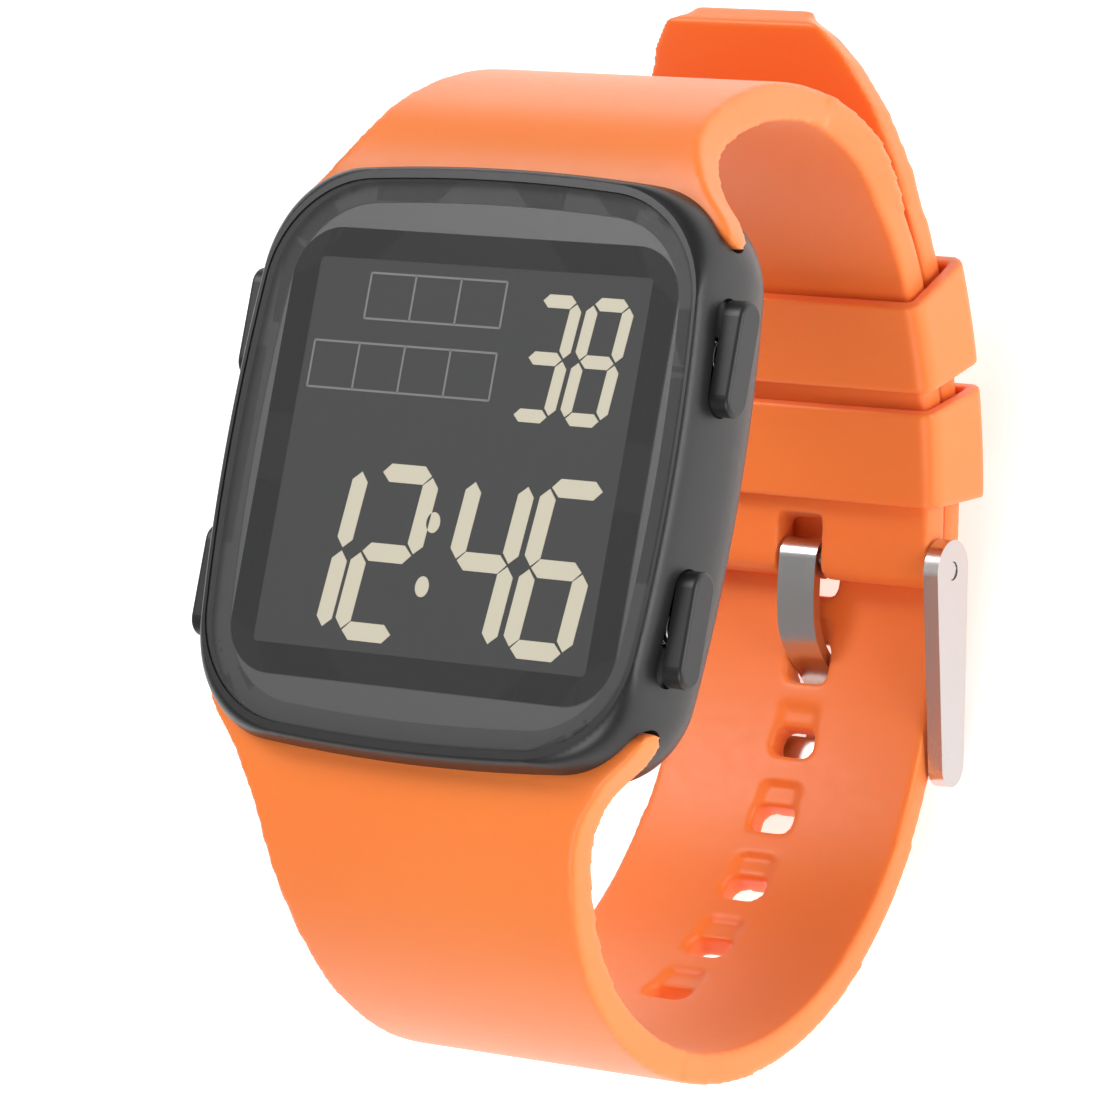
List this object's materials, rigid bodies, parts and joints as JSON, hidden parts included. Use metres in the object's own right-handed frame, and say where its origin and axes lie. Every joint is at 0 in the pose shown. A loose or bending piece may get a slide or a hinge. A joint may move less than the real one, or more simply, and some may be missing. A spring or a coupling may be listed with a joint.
{
  "type": "digital sports watch",
  "caption": "Square digital wristwatch with a black case, side push buttons and a silicone strap buckled into a loop through two sliding keepers.",
  "frame": {"origin": "middle of the case back's flat outer face, where the watch lies on the wrist", "axes": "+Z out through the display, +Y towards 12 o'clock and the buckle strap, +X towards 3 o'clock"},
  "size_m": [0.0436, 0.0842, 0.0625],
  "materials": {
    "case_plastic": "satin black moulded plastic",
    "button_plastic": "satin black moulded plastic",
    "lens_glass": "clear polished flat glass",
    "mask_print": "black printed border",
    "adhesive": "black adhesive film",
    "display_glass": "black negative display",
    "light_guide": "white moulded light guide",
    "module_plastic": "white moulded plastic",
    "connector_rubber": "striped elastomer",
    "board_laminate": "green board laminate",
    "chip_resin": "black resin",
    "inner_steel": "plain steel",
    "contact_brass": "sprung brass",
    "spring_steel": "spring wire",
    "seal_rubber": "black seal rubber",
    "back_steel": "fine brushed steel",
    "strap_silicone": "soft satin orange silicone",
    "buckle_steel": "satin polished steel"
  },
  "bodies": {
    "case": {"backlight_panel": "light_guide", "battery": "inner_steel", "battery_clip": "inner_steel", "buckle_pin": "buckle_steel", "buckle_strap": "strap_silicone", "button_contacts": "contact_brass", "buzzer_disc": "contact_brass", "buzzer_spring": "spring_steel", "case_back": "back_steel", "case_back_gasket": "seal_rubber", "case_back_screws": "inner_steel", "case_body": "case_plastic", "circuit_board": "board_laminate", "clock_chip": "chip_resin", "connector_strips": "connector_rubber", "display_mask": "mask_print", "holed_strap": "strap_silicone", "lcd_panel": "display_glass", "lens": "lens_glass", "lens_adhesive_ring": "adhesive", "lower_left_button_seal": "seal_rubber", "lower_left_button_spring": "spring_steel", "lower_right_button_seal": "seal_rubber", "lower_right_button_spring": "spring_steel", "module_frame": "module_plastic", "quartz_crystal": "inner_steel", "strap_screws": "inner_steel", "upper_left_button_seal": "seal_rubber", "upper_left_button_spring": "spring_steel", "upper_right_button_seal": "seal_rubber", "upper_right_button_spring": "spring_steel"},
    "upper_right_button_body": {"upper_right_button": "button_plastic", "upper_right_button_clip": "inner_steel"},
    "upper_left_button_body": {"upper_left_button": "button_plastic", "upper_left_button_clip": "inner_steel"},
    "lower_right_button_body": {"lower_right_button": "button_plastic", "lower_right_button_clip": "inner_steel"},
    "lower_left_button_body": {"lower_left_button": "button_plastic", "lower_left_button_clip": "inner_steel"},
    "frame_body": {"buckle_frame": "buckle_steel"},
    "tongue_body": {"buckle_tongue": "buckle_steel"},
    "upper_keeper_body": {"upper_keeper": "strap_silicone"},
    "lower_keeper_body": {"lower_keeper": "strap_silicone"}
  },
  "joints": [
    {"name": "upper_right_button_press", "type": "slide", "parent": "case", "child": "upper_right_button_body", "axis": [-1, 0, 0], "range_m": [0, 0.0008], "stiffness_N_per_m": 900, "springref_m": -0.0005, "deforming": ["upper_right_button_spring"]},
    {"name": "upper_left_button_press", "type": "slide", "parent": "case", "child": "upper_left_button_body", "axis": [1, 0, 0], "range_m": [0, 0.0008], "stiffness_N_per_m": 900, "springref_m": -0.0005, "deforming": ["upper_left_button_spring"]},
    {"name": "lower_right_button_press", "type": "slide", "parent": "case", "child": "lower_right_button_body", "axis": [-1, 0, 0], "range_m": [0, 0.0008], "stiffness_N_per_m": 900, "springref_m": -0.0005, "deforming": ["lower_right_button_spring"]},
    {"name": "lower_left_button_press", "type": "slide", "parent": "case", "child": "lower_left_button_body", "axis": [1, 0, 0], "range_m": [0, 0.0008], "stiffness_N_per_m": 900, "springref_m": -0.0005, "deforming": ["lower_left_button_spring"]},
    {"name": "buckle_frame_swing", "type": "hinge", "parent": "case", "child": "frame_body", "pos_m": [0, 0.00304, -0.04303], "axis": [1, 0, 0], "range_deg": [0, 2.5]},
    {"name": "buckle_tongue_swing", "type": "hinge", "parent": "frame_body", "child": "tongue_body", "pos_m": [0, 0.00304, -0.04303], "axis": [1, 0, 0], "range_deg": [0, 1]},
    {"name": "upper_keeper_slide", "type": "hinge", "parent": "case", "child": "upper_keeper_body", "pos_m": [0, -0.0063, 0.0017], "axis": [1, 0, 0], "range_deg": [-0.6, 4]},
    {"name": "lower_keeper_slide", "type": "hinge", "parent": "case", "child": "lower_keeper_body", "pos_m": [0, -0.0063, 0.0017], "axis": [1, 0, 0], "range_deg": [-3, 0.6]}
  ]
}
